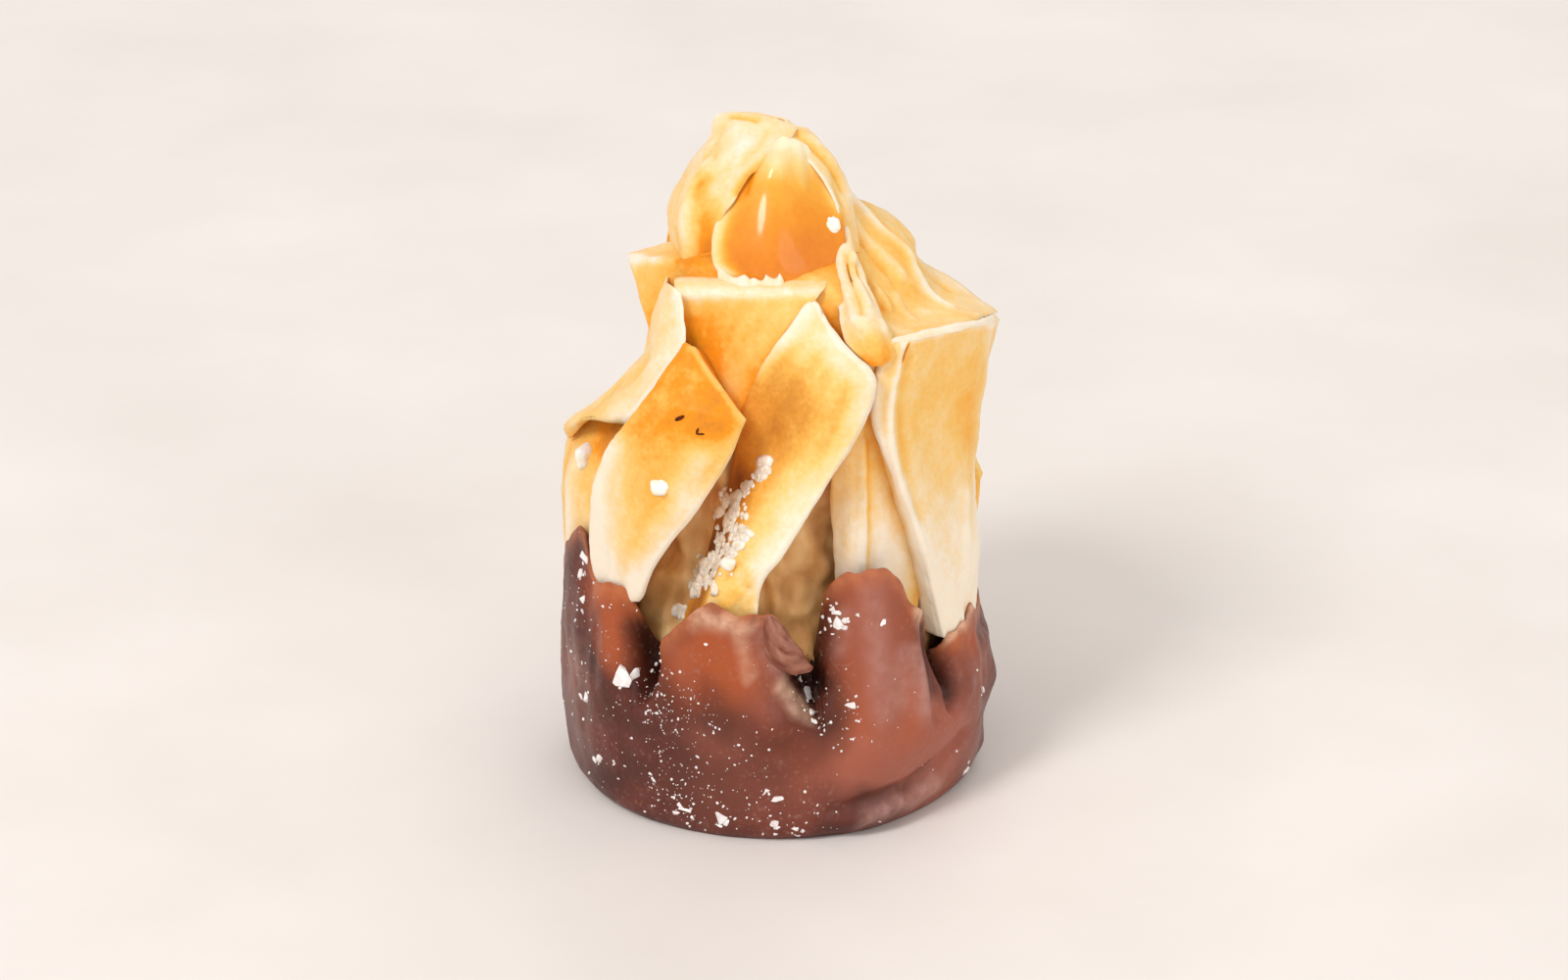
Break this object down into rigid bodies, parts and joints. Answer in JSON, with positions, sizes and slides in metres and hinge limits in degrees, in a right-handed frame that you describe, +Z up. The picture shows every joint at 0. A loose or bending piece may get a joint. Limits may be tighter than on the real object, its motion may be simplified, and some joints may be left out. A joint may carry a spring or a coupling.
{
  "type": "chocolate-dipped baklava bundle",
  "caption": "Upright bite of baklava: folded phyllo leaves gathered into a peak, with the foot dipped in milk chocolate and sprinkled with sugar and salt grains.",
  "frame": {"origin": "middle of the flat underside", "axes": "+Z up through the peak, -Y towards the viewer's side with the open front folds, +X to the square fold on the right"},
  "size_m": [0.0445, 0.045, 0.0697],
  "materials": {
    "baked_phyllo": "baked golden phyllo, satin, cream at the foot of the leaves and amber in the folds",
    "milk_chocolate": "satin milk chocolate with a soft bloom and white grains"
  },
  "bodies": {
    "root": {"pastry": "baked_phyllo", "chocolate_coat": "milk_chocolate"}
  },
  "joints": []
}
